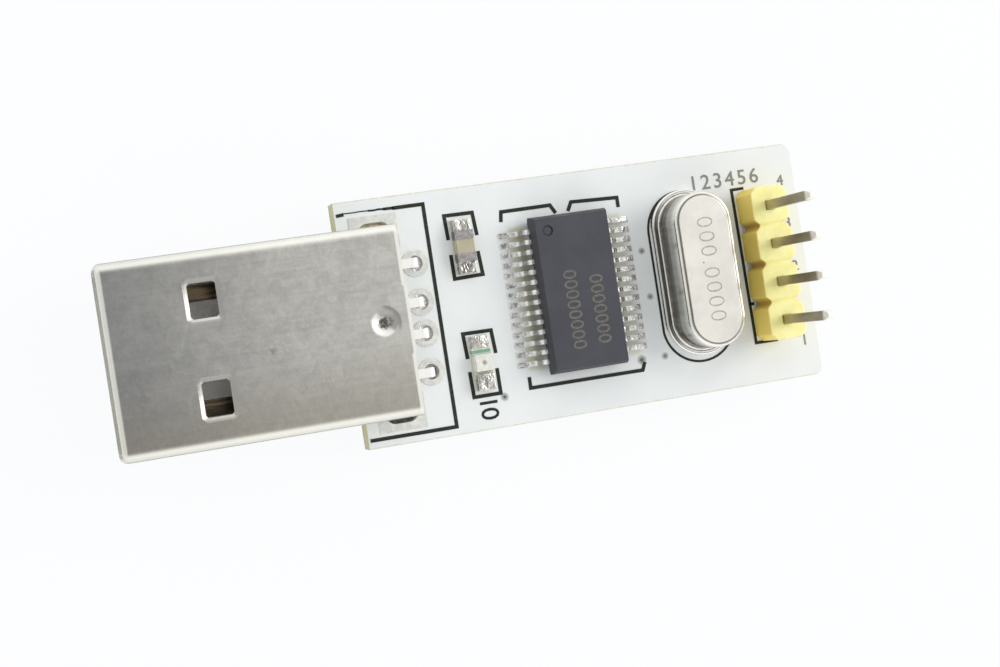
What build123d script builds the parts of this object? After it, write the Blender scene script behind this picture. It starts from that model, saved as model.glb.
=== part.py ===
"""A USB to serial adapter module, in millimetres.

A small white circuit board carries a metal USB plug at one end and a four way pin header at the
other. Between them sit a capacitor, an indicator lamp, a 28 lead chip and a crystal. X runs from the
plug to the header and Z is up on the component side. The origin is under the middle of the module's
outer box, level with the ends of the leads that come through the board.
"""

import os

from build123d import *

os.makedirs("parts", exist_ok=True)

# Circuit board
board_length = 31.6
board_width = 15.75
board_thickness = 1.6
board_corner = 0.6
copper = 0.05
lead_drop = 1.4

# Plug shell, a folded steel sheet
plug_overhang = 15.4
plug_y = -0.1
shell_on_board = 2.85
shell_width = 11.9
shell_height = 4.5
shell_sheet = 0.3
shell_corner = 0.65
rim_steps = ((0.0, 0.16), (0.08, 0.06), (0.3, 0.0))
window_length = 1.7
window_width = 2.15
window_from_front = 6.0
window_side = 2.95
window_roll = 0.28
window_roll_depth = 0.2
window_corner = 0.15
seam_width = 0.08
seam_depth = 0.14
seam_tail = 1.6
stub_width = 4.2
stub_proud = 0.1
stake_from_rear = 1.6
stake_radius = 0.8
stake_depth = 0.2
stake_pit_radius = 0.22
stake_pit_depth = 0.38
tab_length = 1.35
tab_bevel = 0.35
slot_front_gap = 0.15
slot_rear_gap = 0.6
slot_side_gap = 0.475
slot_pad_end = 0.525
slot_pad_side = 0.475

# Plug insulator and its four contacts
cavity_depth = 11.75
tongue_back = 0.8
tongue_thickness = 1.95
tongue_side_gap = 0.15
tongue_bevel = 0.4
block_clearance = 0.05
block_corner = 0.36
block_rear_gap = 0.3
contact_sheet = 0.25
contact_proud = 0.06
contact_width = 1.0
contact_outer_y = 3.5
contact_inner_y = 1.0
contact_outer_start = 1.2
contact_inner_start = 2.2
contact_bend = 0.35
contact_exit_height = 1.35
contact_jog = 1.2
tail_width = 0.6
tail_from_edge = 4.55
tail_bevel = 0.15

# Holes and pads for leads that go through the board
plug_pin_from_edge = 4.72
plug_hole_radius = 0.5
header_hole_radius = 0.52
crystal_hole_radius = 0.4
pad_ring = 0.38
small_sides = 14
solder_cone_height = 0.95
fill_level_full = 0.25
fill_level_low = 0.85

# Chip with 28 leads
chip_from_edge = 14.9
chip_y = 0.1
chip_rows = 14
lead_pitch = 0.65
chip_end_margin = 0.875
chip_width = 5.3
chip_height = 1.7
chip_standoff = 0.1
chip_draft = 13
chip_parting = 0.95
lead_width = 0.3
lead_sheet = 0.15
lead_embed = 0.3
lead_shoulder = 0.28
lead_foot = 0.62
lead_span = 7.8
lead_bend = 0.12
chip_pad_reach = 0.6
chip_pad_length = 1.55
chip_pad_width = 0.38
toe_height = 0.13
dot_radius = 0.33
dot_depth = 0.07
dot_inset = 1.0

# Crystal in a drawn metal can
crystal_from_edge = 23.25
crystal_y = 0.2
can_length = 10.2
can_width = 3.95
can_height = 3.5
can_sheet = 0.2
crown_steps = ((0.0, 0.26), (0.07, 0.09), (0.26, 0.0))
flange_lip = 0.42
flange_sheet = 0.25
flange_root = 0.15
base_sheet = 0.35
base_plug_height = 0.3
base_clearance = 0.1
crystal_lead_pitch = 4.88
crystal_lead_radius = 0.215
seal_radius = 0.6
crystal_lead_drop = 1.25
clip_sheet = 0.12
clip_width = 0.5
clip_rise = 0.45
clip_post_height = 1.2
clip_wall = 0.25
blank_sheet = 0.14
blank_height = 1.6
blank_margin = 1.0
blank_lift = 0.2

# Pin header
header_from_edge = 28.48
header_y = 0.0
header_ways = 4
header_pitch = 2.54
header_width = 2.54
header_height = 2.54
header_bevel = 0.4
header_groove = 0.16
header_foot = 0.2
pin_side = 0.6
pin_above = 6.45
pin_tip = 0.35
pin_tip_angle = 22

# Chip sized parts that stand on two pads, 2.0 by 1.25 on the board
chip_part_length = 2.0
chip_part_width = 1.25
cup_sheet = 0.04
part_pad_inner = 0.6
part_pad_outer = 1.8
part_pad_width = 1.4
fillet_part = 0.55
capacitor_cup = 0.55
capacitor_height = 0.85
resistor_cup = 0.38
resistor_height = 0.5
capacitor_spot = (7.98, 4.02)
lamp_spot = (8.05, -3.53)
lamp_base_height = 0.3
lamp_height = 0.8
lamp_lens_length = 1.2
lamp_lens_draft = 8
lamp_terminal = 0.3
lamp_die_side = 0.28
lamp_die_height = 0.15
resistor_spots = ((8.4, 1.5), (8.4, -1.7), (12.6, 4.9), (12.6, -4.9))
under_capacitor_spots = ((16.9, 4.9), (16.9, -4.9), (19.9, 2.64), (19.9, -2.24))

# Levels and places that follow from the sizes above
edge_x = (plug_overhang - board_length) / 2
board_low = lead_drop
board_high = board_low + board_thickness
seat = board_high + copper
under_seat = board_low - copper
shell_length = plug_overhang + shell_on_board
shell_front = edge_x - plug_overhang
shell_rear = shell_front + shell_length
shell_low = seat
shell_high = seat + shell_height
shell_mid = seat + shell_height / 2
half_shell = shell_width / 2
contact_ys = (contact_outer_y, contact_inner_y, -contact_inner_y, -contact_outer_y)
plug_pins = [(edge_x + plug_pin_from_edge, plug_y + y) for y in contact_ys]
slot_length = slot_front_gap + tab_length + slot_rear_gap
slot_width = shell_sheet + 2 * slot_side_gap
slot_pad_length = slot_length + 2 * slot_pad_end
slot_pad_width = slot_width + 2 * slot_pad_side
slot_x = shell_rear - tab_length - slot_front_gap + slot_length / 2
slot_spots = [(slot_x, plug_y + s * (half_shell - shell_sheet / 2)) for s in (1, -1)]
chip_x = edge_x + chip_from_edge
chip_rows_y = [chip_y + (i - (chip_rows - 1) / 2) * lead_pitch for i in range(chip_rows)]
chip_length = (chip_rows - 1) * lead_pitch + 2 * chip_end_margin
chip_pad_end = lead_span / 2 + chip_pad_reach
crystal_x = edge_x + crystal_from_edge
crystal_pins = [(crystal_x, crystal_y + s * crystal_lead_pitch / 2) for s in (1, -1)]
header_x = edge_x + header_from_edge
header_rows = [header_y + ((header_ways - 1) / 2 - i) * header_pitch for i in range(header_ways)]
header_pins = [(header_x, y) for y in header_rows]
tongue_high = shell_low + shell_sheet + tongue_thickness
part_cup_reach = chip_part_length / 2


def block(x0, x1, y0, y1, z0, z1):
    """A box from one corner to the other."""
    return Pos((x0 + x1) / 2, (y0 + y1) / 2, (z0 + z1) / 2) * Box(x1 - x0, y1 - y0, z1 - z0)


def rod(x, y, radius, z0, z1):
    """A round bar along Z."""
    return Pos(x, y, (z0 + z1) / 2) * Cylinder(radius, z1 - z0)


def stadium(x, y, along_x, along_y, z0, z1):
    """An upright prism with two half round ends."""
    long, short = max(along_x, along_y), min(along_x, along_y)
    turn = 0 if along_x > along_y else 90
    return extrude(Pos(x, y, z0) * Rot(0, 0, turn) * SlotOverall(long, short), amount=z1 - z0)


def slab(outline, y, width):
    """A closed outline in the XZ plane, given a width along Y with its middle at y."""
    return extrude(make_face(outline), amount=width, dir=(0, 1, 0)).moved(Location((0, y - width / 2, 0)))


def strip(path, sheet, y, width):
    """A metal strip along a path in the XZ plane, lying below the path's first run."""
    return slab(offset(Plane.XZ * path, amount=sheet, kind=Kind.INTERSECTION, side=Side.RIGHT), y, width)


def eased(points, size):
    """The same route with each inner corner cut off, for bends too small to need arcs."""
    route = [Vector(*points[0])]
    for before, corner, after in zip(points, points[1:], points[2:]):
        corner = Vector(*corner)
        route += [corner + (Vector(*end) - corner).normalized() * size for end in (before, after)]
    return Polyline(*route, Vector(*points[-1]))


def faceted(x, y, radius, z0, z1):
    """A small upright bar with a few flat sides, for what is too small to need a round."""
    return extrude(Pos(x, y, z0) * RegularPolygon(radius, small_sides), amount=z1 - z0)


def lead_in(shape, size):
    """The same shape with its lowest face's edges bevelled."""
    return chamfer(shape.faces().sort_by(Axis.Z)[0].edges(), size)


def circuit_board():
    plate = block(edge_x, edge_x + board_length, -board_width / 2, board_width / 2, board_low, board_high)
    plate = fillet(plate.edges().filter_by(Axis.Z).sort_by(Axis.X)[-2:], board_corner)
    holes = [rod(x, y, plug_hole_radius, board_low, board_high) for x, y in plug_pins]
    holes += [faceted(x, y, header_hole_radius, board_low, board_high) for x, y in header_pins]
    holes += [faceted(x, y, crystal_hole_radius, board_low, board_high) for x, y in crystal_pins]
    holes += [stadium(x, y, slot_length, slot_width, board_low, board_high) for x, y in slot_spots]
    return plate - holes


def plug_pads(z0, z1):
    """The round pads of the plug's four tails and the square pads of its two slots."""
    pads = [rod(x, y, plug_hole_radius + pad_ring, z0, z1) - rod(x, y, plug_hole_radius, z0, z1)
            for x, y in plug_pins]
    for x, y in slot_spots:
        pad = Pos(x, y, (z0 + z1) / 2) * Box(slot_pad_length, slot_pad_width, z1 - z0)
        pads.append(pad - stadium(x, y, slot_length, slot_width, z0, z1))
    return pads


def part_pads(x, y, turn, z0, z1):
    """The two pads of a small part."""
    pads = []
    for side in (1, -1):
        middle = side * (part_pad_inner + part_pad_outer) / 2
        pad = Box(part_pad_outer - part_pad_inner, part_pad_width, z1 - z0)
        pads.append(Pos(x, y, (z0 + z1) / 2) * Rot(0, 0, turn) * Pos(middle, 0, 0) * pad)
    return pads


def copper_pads_top():
    pads = plug_pads(board_high, seat)
    for side in (1, -1):
        for y in chip_rows_y:
            ends = sorted((side * (chip_pad_end - chip_pad_length), side * chip_pad_end))
            pads.append(block(chip_x + ends[0], chip_x + ends[1], y - chip_pad_width / 2,
                              y + chip_pad_width / 2, board_high, seat))
    for x, y in (capacitor_spot, lamp_spot):
        pads += part_pads(edge_x + x, y, 90, board_high, seat)
    return pads


def copper_pads_bottom():
    """The small parts' pads. Those round the leads are wholly under their solder, and are part of it."""
    pads = []
    for x, y in resistor_spots + under_capacitor_spots:
        pads += part_pads(edge_x + x, y, 0, under_seat, board_low)
    return pads


def shell_section(x, inset, corner_inset):
    """The plug's cross section at x, drawn in by a given amount."""
    size_y, size_z = shell_width - 2 * inset, shell_height - 2 * inset
    return Plane.YZ.offset(x) * Pos(plug_y, shell_mid) * RectangleRounded(
        size_y, size_z, shell_corner - corner_inset)


def shell_tube():
    """The plug's folded tube: its outside is rounded at the front rim, its inside is straight."""
    sections = [shell_section(shell_front + step, drawn, 0) for step, drawn in rim_steps]
    outside = loft(sections, ruled=True) + extrude(sections[-1], amount=shell_length - rim_steps[-1][0])
    mouth = shell_section(shell_front, shell_sheet, shell_sheet)
    return outside - extrude(mouth, amount=shell_length)


def windows():
    """Cutters for the two latch windows in the top and in the underside, with rolled edges."""
    x = shell_front + window_from_front
    wide = 2 * window_roll
    hole = chamfer(Rectangle(window_length, window_width).vertices(), window_corner)
    rolled = Rectangle(window_length + wide, window_width + wide)
    rolled = chamfer(rolled.vertices(), window_corner + window_roll / 2)
    cutters = []
    for side in (1, -1):
        spot = (x, plug_y + side * window_side)
        for top in (True, False):
            z, away = (shell_high, -1) if top else (shell_low, 1)
            cutters.append(extrude(Pos(*spot, z) * hole, amount=2 * shell_sheet, both=True))
            mouth = Pos(*spot, z) * rolled
            floor = Pos(*spot, z + away * window_roll_depth) * hole
            cutters.append(loft([mouth, floor] if top else [floor, mouth], ruled=True))
    return cutters


def seam():
    """The dovetail joint line where the folded sheet's two ends meet underneath."""
    middle = (shell_front + shell_rear) / 2
    route = ((shell_front, 0), (middle - seam_tail, 0), (middle - 1.5 * seam_tail, seam_tail),
             (middle + 0.5 * seam_tail, seam_tail), (middle, 0), (shell_rear, 0))
    line = trace(Polyline(*route), line_width=seam_width)
    return extrude(Pos(0, plug_y, shell_low) * line, amount=seam_depth)


def stake():
    """The dimple punched into the plug's top: a shallow bowl with a pit in the middle."""
    profile = Polyline((0, 0), (stake_radius, 0), (2 * stake_pit_radius, -stake_depth),
                       (stake_pit_radius, -stake_depth), (0, -stake_pit_depth), close=True)
    bowl = revolve(make_face(Plane.XZ * profile), Axis.Z)
    return bowl.moved(Location((shell_rear - stake_from_rear, plug_y, shell_high)))


def plug_shell():
    shell = shell_tube()
    stub = block(shell_rear, shell_rear + stub_proud, plug_y - stub_width / 2, plug_y + stub_width / 2,
                 shell_high - shell_sheet, shell_high)
    boss = rod(shell_rear - stake_from_rear, plug_y, stake_radius, shell_high - shell_sheet - stake_depth,
               shell_high - shell_sheet)
    shell = shell + stub + boss - stake()
    for side in (1, -1):
        outside = plug_y + side * half_shell
        inside = outside - side * shell_sheet
        tab = block(shell_rear - tab_length, shell_rear, min(inside, outside), max(inside, outside),
                    0, shell_low + 2 * shell_corner)
        low_ends = tab.edges().filter_by(Axis.Y).sort_by(Axis.Z)[:2]
        shell = shell + chamfer(low_ends, tab_bevel)
    return shell - windows() - [seam()]


def plug_contact(index):
    """One spring contact: a wide strip on the tongue, then a jog down and a narrow tail."""
    outer = index in (0, len(contact_ys) - 1)
    start = shell_front + tongue_back + (contact_outer_start if outer else contact_inner_start)
    high = tongue_high + contact_proud
    low = seat + contact_exit_height
    jog = shell_front + cavity_depth + contact_jog
    run = jog + (high - low)
    tail = edge_x + tail_from_edge + contact_sheet / 2
    route = ((start, high), (jog, high), (run, low), (tail, low), (tail, 0))
    y = plug_y + contact_ys[index]
    narrow = strip(FilletPolyline(*route, radius=contact_bend), contact_sheet, y, tail_width)
    wide = strip(FilletPolyline(*route[:3], radius=contact_bend), contact_sheet, y, contact_width)
    return lead_in(narrow, tail_bevel / 2) + wide


def plug_insulator(contacts):
    """The moulded block that fills the plug's rear, with the tongue that carries the contacts."""
    half = half_shell - shell_sheet
    low = shell_low + shell_sheet
    back = shell_front + cavity_depth
    body = block(back, shell_rear - block_rear_gap, plug_y - half + block_clearance,
                 plug_y + half - block_clearance, low, shell_high - shell_sheet - block_clearance)
    body = chamfer(body.edges().filter_by(Axis.X), block_corner)
    side = half - tongue_side_gap
    tongue = block(shell_front + tongue_back, back, plug_y - side, plug_y + side, low, tongue_high)
    tongue = chamfer(tongue.edges().filter_by(Axis.X).group_by(Axis.Z)[0], block_corner)
    nose = tongue.edges().filter_by(Axis.Y).sort_by(Axis.X)[:2].sort_by(Axis.Z)[-1:]
    tongue = chamfer(nose, tongue_bevel)
    x = shell_rear - stake_from_rear
    recess = rod(x, plug_y, stake_radius + shell_sheet, shell_high - 3 * shell_sheet, shell_high)
    return body + tongue - [recess] - contacts


def chip_body(leads):
    """The moulded package, drafted above and below its parting line, with the pin one dot."""
    outline = Pos(chip_x, chip_y, seat + chip_parting) * Rectangle(chip_width, chip_length)
    upper = extrude(outline, amount=chip_standoff + chip_height - chip_parting, taper=chip_draft)
    lower = extrude(outline, amount=-(chip_parting - chip_standoff), taper=chip_draft)
    top = seat + chip_standoff + chip_height
    x, y = chip_x - chip_width / 2 + dot_inset, chip_y + chip_length / 2 - dot_inset
    dot = rod(x, y, dot_radius, top - dot_depth, top)
    return upper + lower - [dot] - leads


def chip_leads(side):
    """One row of gull wing leads, left for side -1 and right for side 1."""
    wall = chip_width / 2
    high = seat + chip_parting + lead_sheet / 2
    reach = lead_span / 2
    knee = wall + lead_shoulder
    route = ((wall - lead_embed, high), (knee, high), (reach - lead_foot, seat + lead_sheet),
             (reach, seat + lead_sheet))
    lead = strip(eased(route, lead_bend), lead_sheet, 0, lead_width)
    if side < 0:
        lead = mirror(lead, about=Plane.YZ)
    return [lead.moved(Location((chip_x, y, 0))) for y in chip_rows_y]


def chip_solder(side):
    """The solder toe in front of each lead's foot."""
    start, end = lead_span / 2, chip_pad_end - toe_height / 2
    toes = []
    for y in chip_rows_y:
        corners = ((side * start, seat), (side * end, seat), (side * start, seat + toe_height))
        toe = slab(Plane.XZ * Polyline(*corners, close=True), y, chip_pad_width)
        toes.append(toe.moved(Location((chip_x, 0, 0))))
    return toes


def can_form(inset, z0, z1):
    """The crystal can's stadium form, drawn in by inset."""
    return stadium(crystal_x, crystal_y, can_width - 2 * inset, can_length - 2 * inset, z0, z1)


def can_band(low_inset, high_inset, z0, z1):
    """One sloped band of the can, between two stadium sections."""
    sections = [Pos(crystal_x, crystal_y, z) * Rot(0, 0, 90)
                * SlotOverall(can_length - 2 * inset, can_width - 2 * inset)
                for inset, z in ((low_inset, z0), (high_inset, z1))]
    return loft(sections, ruled=True)


def crystal_can():
    """The drawn can: a crowned top, straight walls and a welding flange with a sloped root."""
    low = board_high + base_sheet
    flange_high = low + flange_sheet
    top = board_high + can_height
    can = can_form(-flange_lip, low, flange_high)
    can += can_band(-flange_root, 0, flange_high, flange_high + flange_root)
    crown_low = top - crown_steps[-1][0]
    can += can_form(0, flange_high, crown_low)
    for (high_drop, high_in), (low_drop, low_in) in zip(crown_steps, crown_steps[1:]):
        can += can_band(low_in, high_in, top - low_drop, top - high_drop)
    return can - can_form(can_sheet, low, crown_low)


def crystal_base():
    """The base plate: a flange, a raised plug inside the can and holes for the glass seals."""
    low, middle = board_high, board_high + base_sheet
    base = can_form(-flange_lip, low, middle)
    base += can_form(can_sheet + base_clearance, middle, middle + base_plug_height)
    return base - [faceted(x, y, seal_radius, low, middle + base_plug_height) for x, y in crystal_pins]


def crystal_seals():
    """The glass beads that hold the crystal's two leads in the base."""
    low, top = board_high, board_high + base_sheet + base_plug_height
    return [faceted(x, y, seal_radius, low, top) - faceted(x, y, crystal_lead_radius, low, top)
            for x, y in crystal_pins]


def clip_level():
    return board_high + base_sheet + base_plug_height + clip_rise


def crystal_lead(index):
    """One wire lead, from its cut end under the board up to the clip inside the can."""
    x, y = crystal_pins[index]
    return faceted(x, y, crystal_lead_radius, board_low - crystal_lead_drop, clip_level())


def crystal_blank():
    """The quartz strip that stands on its long edge between the two clips."""
    half = can_length / 2 - blank_margin
    low = clip_level() + clip_sheet + blank_lift
    return block(crystal_x - blank_sheet / 2, crystal_x + blank_sheet / 2, crystal_y - half,
                 crystal_y + half, low, low + blank_height)


def crystal_clips():
    """Two small bent clips on the leads' ends, each with a slotted post that grips the quartz."""
    clips = []
    for _, y in crystal_pins:
        side = 1 if y > crystal_y else -1
        inner = y - side * clip_width / 2
        outer = crystal_y + side * (can_length / 2 - blank_margin + clip_wall)
        post = outer - side * 2 * clip_wall
        low = clip_level()
        foot = block(crystal_x - clip_width / 2, crystal_x + clip_width / 2, min(inner, outer),
                     max(inner, outer), low, low + clip_sheet)
        upright = block(crystal_x - clip_width / 2, crystal_x + clip_width / 2, min(post, outer),
                        max(post, outer), low, low + clip_sheet + clip_post_height)
        clips.append(foot + upright - crystal_blank())
    return clips


def header_housing(pins):
    """Four joined cells with bevelled corners, so that a notch runs down between each two."""
    cells = Sketch()
    for x, y in header_pins:
        cell = Rectangle(header_width, header_pitch)
        cells += Pos(x, y) * chamfer(cell.vertices(), header_bevel)
    bar = extrude(Pos(0, 0, board_high) * cells, amount=header_height)
    high = board_high + header_height
    for y0, y1 in zip(header_rows, header_rows[1:]):
        y = (y0 + y1) / 2
        groove = Polyline((y - header_groove, high), (y + header_groove, high),
                          (y, high - header_groove), close=True)
        cutter = extrude(make_face(Plane.YZ * groove), amount=header_width, both=True)
        bar -= cutter.moved(Location((header_x, 0, 0)))
        bar -= block(header_x - header_width, header_x + header_width, y - header_bevel,
                     y + header_bevel, board_high, board_high + header_foot)
    return bar - pins


def header_pin(index):
    """One square pin, tapered at both ends."""
    x, y = header_pins[index]
    high = board_high + header_height + pin_above
    shaft = block(x - pin_side / 2, x + pin_side / 2, y - pin_side / 2, y + pin_side / 2,
                  pin_tip, high - pin_tip)
    square = Rectangle(pin_side, pin_side)
    upper = extrude(Pos(x, y, high - pin_tip) * square, amount=pin_tip, taper=pin_tip_angle)
    lower = extrude(Pos(x, y, pin_tip) * square, amount=-pin_tip, taper=pin_tip_angle)
    return shaft + upper + lower


def solder_cone(cone, slope):
    """The same bar, all its sides sloped in towards the lower end."""
    foot = cone.faces().sort_by(Axis.Z)[0]
    return chamfer(foot.edges(), slope, solder_cone_height - copper, reference=foot)


def hole_solder(spots, hole_radius, leads, levels):
    """Solder in each hole and in a cone around the lead under the board."""
    joints = []
    for (x, y), level in zip(spots, levels):
        fill = faceted(x, y, hole_radius, board_low, board_high - level)
        cone = faceted(x, y, hole_radius + pad_ring, board_low - solder_cone_height, board_low)
        joints.append(fill + solder_cone(cone, pad_ring) - leads)
    return joints


def tab_solder(shell):
    """Solder that fills the lower part of each slot and cones down round the shell's tab."""
    joints = []
    for x, y in slot_spots:
        fill = stadium(x, y, slot_length, slot_width, board_low, board_high - fill_level_low)
        cone = Pos(x, y, board_low - solder_cone_height / 2) * Box(
            slot_length + pad_ring, slot_width + pad_ring, solder_cone_height)
        cone = chamfer(cone.edges().filter_by(Axis.Z), pad_ring)
        joints.append(fill + solder_cone(cone, pad_ring) - shell)
    return joints


def small_part(length, width, height, cup, spot, turn, under):
    """A ceramic block and its two plated end cups, placed on or under the board."""
    core = Pos(0, 0, height / 2) * Box(length - 2 * cup_sheet, width - 2 * cup_sheet,
                                       height - 2 * cup_sheet)
    cups = []
    for side in (1, -1):
        outer = Pos(side * (length - cup) / 2, 0, height / 2) * Box(cup, width, height)
        cups.append(outer - core)
    place = spot_place(spot, turn, under)
    return place * core, [place * c for c in cups]


def spot_place(spot, turn, under):
    """Where a small part stands: on the board's top, or upside down under it."""
    if under:
        return Pos(edge_x + spot[0], spot[1], under_seat) * Rot(180, 0, turn)
    return Pos(edge_x + spot[0], spot[1], seat) * Rot(0, 0, turn)


def small_part_solder(spot, turn, height, under):
    """The sloped solder at both ends of a small part."""
    place = spot_place(spot, turn, under)
    joints = []
    for side in (1, -1):
        near, far = part_cup_reach, part_pad_outer - copper
        corners = ((side * near, 0), (side * far, 0), (side * (near + far) / 2, height * fillet_part / 3),
                   (side * near, height * fillet_part))
        joints.append(place * slab(Plane.XZ * Polyline(*corners, close=True), 0, chip_part_width))
    return joints


def lamp():
    """The indicator lamp: a base with two terminals, a clear lens and the die inside it."""
    place = spot_place(lamp_spot, 90, False)
    half = chip_part_length / 2
    middle = half - lamp_terminal
    base = Pos(0, 0, lamp_base_height / 2) * Box(2 * middle, chip_part_width, lamp_base_height)
    ends = [Pos(s * (half - lamp_terminal / 2), 0, lamp_base_height / 2)
            * Box(lamp_terminal, chip_part_width, lamp_base_height) for s in (1, -1)]
    die = Pos(0, 0, lamp_base_height + lamp_die_height / 2) * Box(
        lamp_die_side, lamp_die_side, lamp_die_height)
    foot = Pos(0, 0, lamp_base_height) * Rectangle(lamp_lens_length, chip_part_width)
    lens = extrude(foot, amount=lamp_height - lamp_base_height, taper=lamp_lens_draft) - die
    return place * base, [place * e for e in ends], place * die, place * lens


def small_parts(spots, height, cup, turn, under):
    """Cores and end cups of several equal small parts."""
    cores, cups = [], []
    for spot in spots:
        core, two = small_part(chip_part_length, chip_part_width, height, cup, spot, turn, under)
        cores.append(core)
        cups += two
    return cores, cups


def write(name, shape):
    """Write one node, a single solid or a group of separate solids."""
    whole = Compound(children=list(shape)) if isinstance(shape, list) else shape
    export_step(whole, f"parts/{name}.step")


def main():
    write("circuit_board", circuit_board())
    write("copper_pads_top", copper_pads_top())
    write("copper_pads_bottom", copper_pads_bottom())

    shell = plug_shell()
    contacts = [plug_contact(i) for i in range(len(contact_ys))]
    write("plug_shell", shell)
    write("plug_insulator", plug_insulator(contacts))
    for number, contact in enumerate(contacts, start=1):
        write(f"plug_contact_{number}", contact)
    levels = (fill_level_full,) * (len(contacts) - 1) + (fill_level_low,)
    write("solder_plug_pins", hole_solder(plug_pins, plug_hole_radius, contacts, levels))
    write("solder_plug_tabs", tab_solder(shell))

    left, right = chip_leads(-1), chip_leads(1)
    write("chip_leads_left", left)
    write("chip_leads_right", right)
    write("chip_body", chip_body(left + right))
    write("solder_chip_left", chip_solder(-1))
    write("solder_chip_right", chip_solder(1))

    leads = [crystal_lead(i) for i in range(len(crystal_pins))]
    write("crystal_can", crystal_can())
    write("crystal_base", crystal_base())
    write("crystal_seals", crystal_seals())
    write("crystal_clips", crystal_clips())
    write("crystal_blank", crystal_blank())
    for number, lead in enumerate(leads, start=1):
        write(f"crystal_lead_{number}", lead)
    write("solder_crystal", hole_solder(crystal_pins, crystal_hole_radius, leads, (0,) * len(leads)))

    pins = [header_pin(i) for i in range(header_ways)]
    write("header_housing", header_housing(pins))
    for number, pin in enumerate(pins, start=1):
        write(f"header_pin_{number}", pin)
    write("solder_header", hole_solder(header_pins, header_hole_radius, pins, (0,) * header_ways))

    body, cups = small_parts((capacitor_spot,), capacitor_height, capacitor_cup, 90, False)
    write("capacitor_body", body)
    write("capacitor_ends", cups)
    base, ends, die, lens = lamp()
    write("lamp_base", base)
    write("lamp_ends", ends)
    write("lamp_die", die)
    write("lamp_lens", lens)
    write("solder_top_parts", small_part_solder(capacitor_spot, 90, capacitor_height, False)
          + small_part_solder(lamp_spot, 90, lamp_base_height / fillet_part, False))

    bodies, cups = small_parts(resistor_spots, resistor_height, resistor_cup, 0, True)
    write("resistor_bodies", bodies)
    write("resistor_ends", cups)
    bodies, cups = small_parts(under_capacitor_spots, capacitor_height, capacitor_cup, 0, True)
    write("under_capacitor_bodies", bodies)
    write("under_capacitor_ends", cups)
    joints = []
    for spots, height in ((resistor_spots, resistor_height), (under_capacitor_spots, capacitor_height)):
        for spot in spots:
            joints += small_part_solder(spot, 0, height, True)
    write("solder_under_parts", joints)


if __name__ == "__main__":
    main()
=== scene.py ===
"""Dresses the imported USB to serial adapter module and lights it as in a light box.

Lengths in the property groups are in metres, as everything in Blender is here. Places and lengths in
the materials and in the tables are in millimetres. Each operator finishes one group of pieces, and
the panel lists them in the order in which they run.
"""

import math

import bmesh
import bpy
from mathutils import Matrix, Vector


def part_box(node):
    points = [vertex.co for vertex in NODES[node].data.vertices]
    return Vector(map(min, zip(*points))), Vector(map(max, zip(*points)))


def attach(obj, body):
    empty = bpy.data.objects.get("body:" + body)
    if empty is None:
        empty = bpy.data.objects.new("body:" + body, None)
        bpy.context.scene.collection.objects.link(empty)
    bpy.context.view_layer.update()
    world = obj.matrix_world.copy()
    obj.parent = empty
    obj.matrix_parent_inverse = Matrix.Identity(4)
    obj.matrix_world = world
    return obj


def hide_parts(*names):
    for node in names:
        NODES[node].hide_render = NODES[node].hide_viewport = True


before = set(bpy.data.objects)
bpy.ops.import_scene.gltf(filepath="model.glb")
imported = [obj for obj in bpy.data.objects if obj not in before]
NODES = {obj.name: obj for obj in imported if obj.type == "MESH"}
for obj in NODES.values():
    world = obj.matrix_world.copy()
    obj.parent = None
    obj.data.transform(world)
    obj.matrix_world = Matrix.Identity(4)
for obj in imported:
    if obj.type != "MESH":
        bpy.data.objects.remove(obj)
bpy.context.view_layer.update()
MM = 0.001

# A larger face than this is flat on the real part, so it is shaded flat
FLAT_AREA = 2.0 * MM * MM

# Corners nearer than this are one corner
WELD = 0.002 * MM

# Closed vias: place from the board's plug end and its middle line, and radius
VIAS = ((20.03, 2.08, 0.20), (20.14, -0.97, 0.19), (20.54, -5.01, 0.20), (9.25, -5.95, 0.24),
        (18.89, -5.02, 0.28))

# Strips without solder mask beside the chip: middle from the board's plug end, half width, strength
BARE_STRIPS = ((11.7, 0.55, 0.66), (18.3, 0.55, 0.5))

# How far the foot of the crystal's can stands out from its wall
CAN_LIP = 0.42

# Brightness of the tent, from its sides and floor at 0 to the middle of its dim spot at 1
TENT = ((0.0, 0.86), (0.76, 0.88), (0.87, 0.82), (0.925, 0.64), (0.955, 0.42), (0.98, 0.22), (1.0, 0.10))

# In metres, the camera's place and turn from a fit to the photograph, and the lamp's place and width
CAMERA_PLACE = (-0.029325, -0.001005, 0.115022)
CAMERA_AHEAD = Vector((0.26511, -0.00735, -0.96419))
CAMERA_UP = Vector((0.14849, 0.98835, 0.03330))
KEY_PLACE = (0.36, 0.07, 0.27)
KEY_WIDTH = 0.30

bl_info = {
    "name": "Serial adapter module",
    "version": (1, 0, 0),
    "blender": (4, 5, 0),
    "location": "View3D > Sidebar > Adapter",
    "description": "Finishes and lights a small USB to serial adapter module",
    "category": "Object",
}


# Shader expressions

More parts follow.
